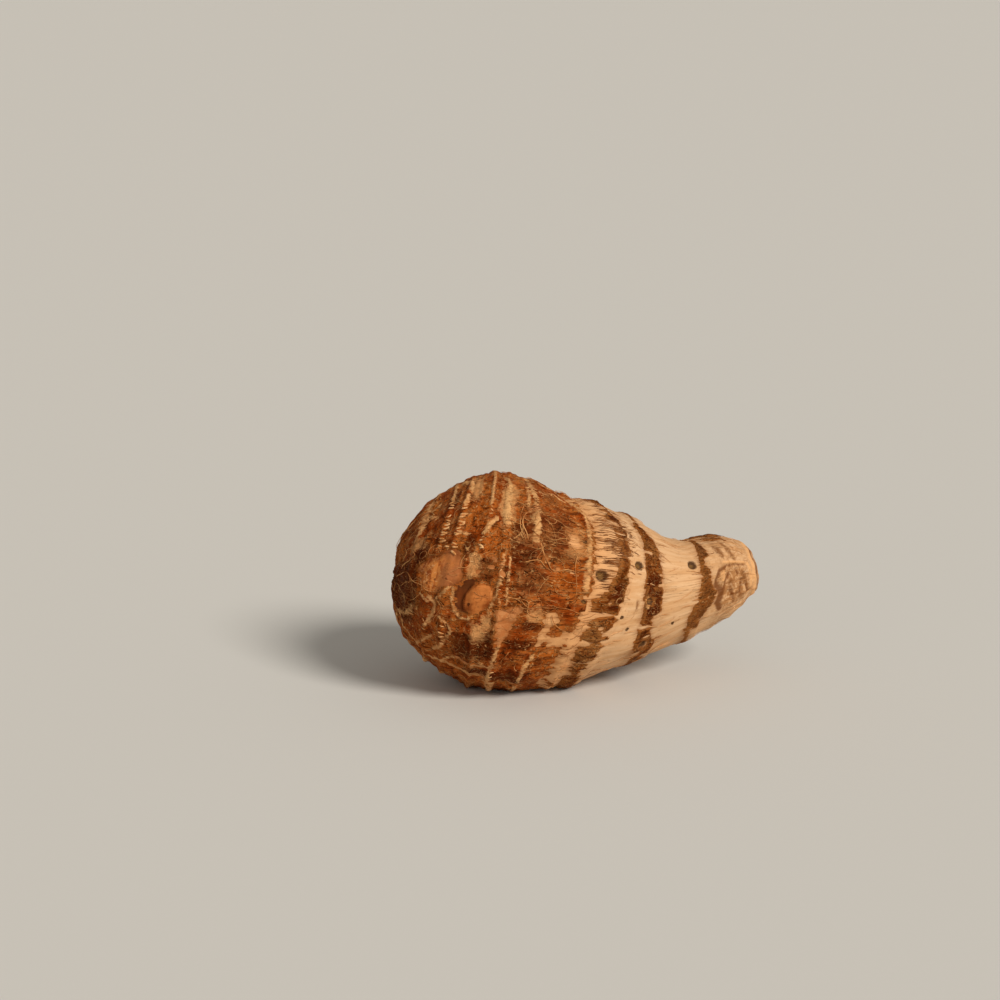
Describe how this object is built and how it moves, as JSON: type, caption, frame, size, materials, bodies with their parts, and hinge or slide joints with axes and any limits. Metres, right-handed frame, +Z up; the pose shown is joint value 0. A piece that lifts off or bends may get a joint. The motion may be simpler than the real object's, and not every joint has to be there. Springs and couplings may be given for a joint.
{
  "type": "taro root",
  "caption": "Pear-shaped taro corm with a fat ringed crown, dark bands of old skin, an eye bud and a narrow neck, lying on its side.",
  "frame": {"origin": "centre of the corm's bounding box in plan, at the surface that it lies on", "axes": "+X from the fat crown to the narrow neck, +Z up, -Y the front with the eye bud"},
  "size_m": [0.111, 0.0636, 0.0633],
  "materials": {
    "corm_skin": "dry fibrous skin, matt, tan to dark brown in bands"
  },
  "bodies": {
    "root": {"corm": "corm_skin"}
  },
  "joints": []
}
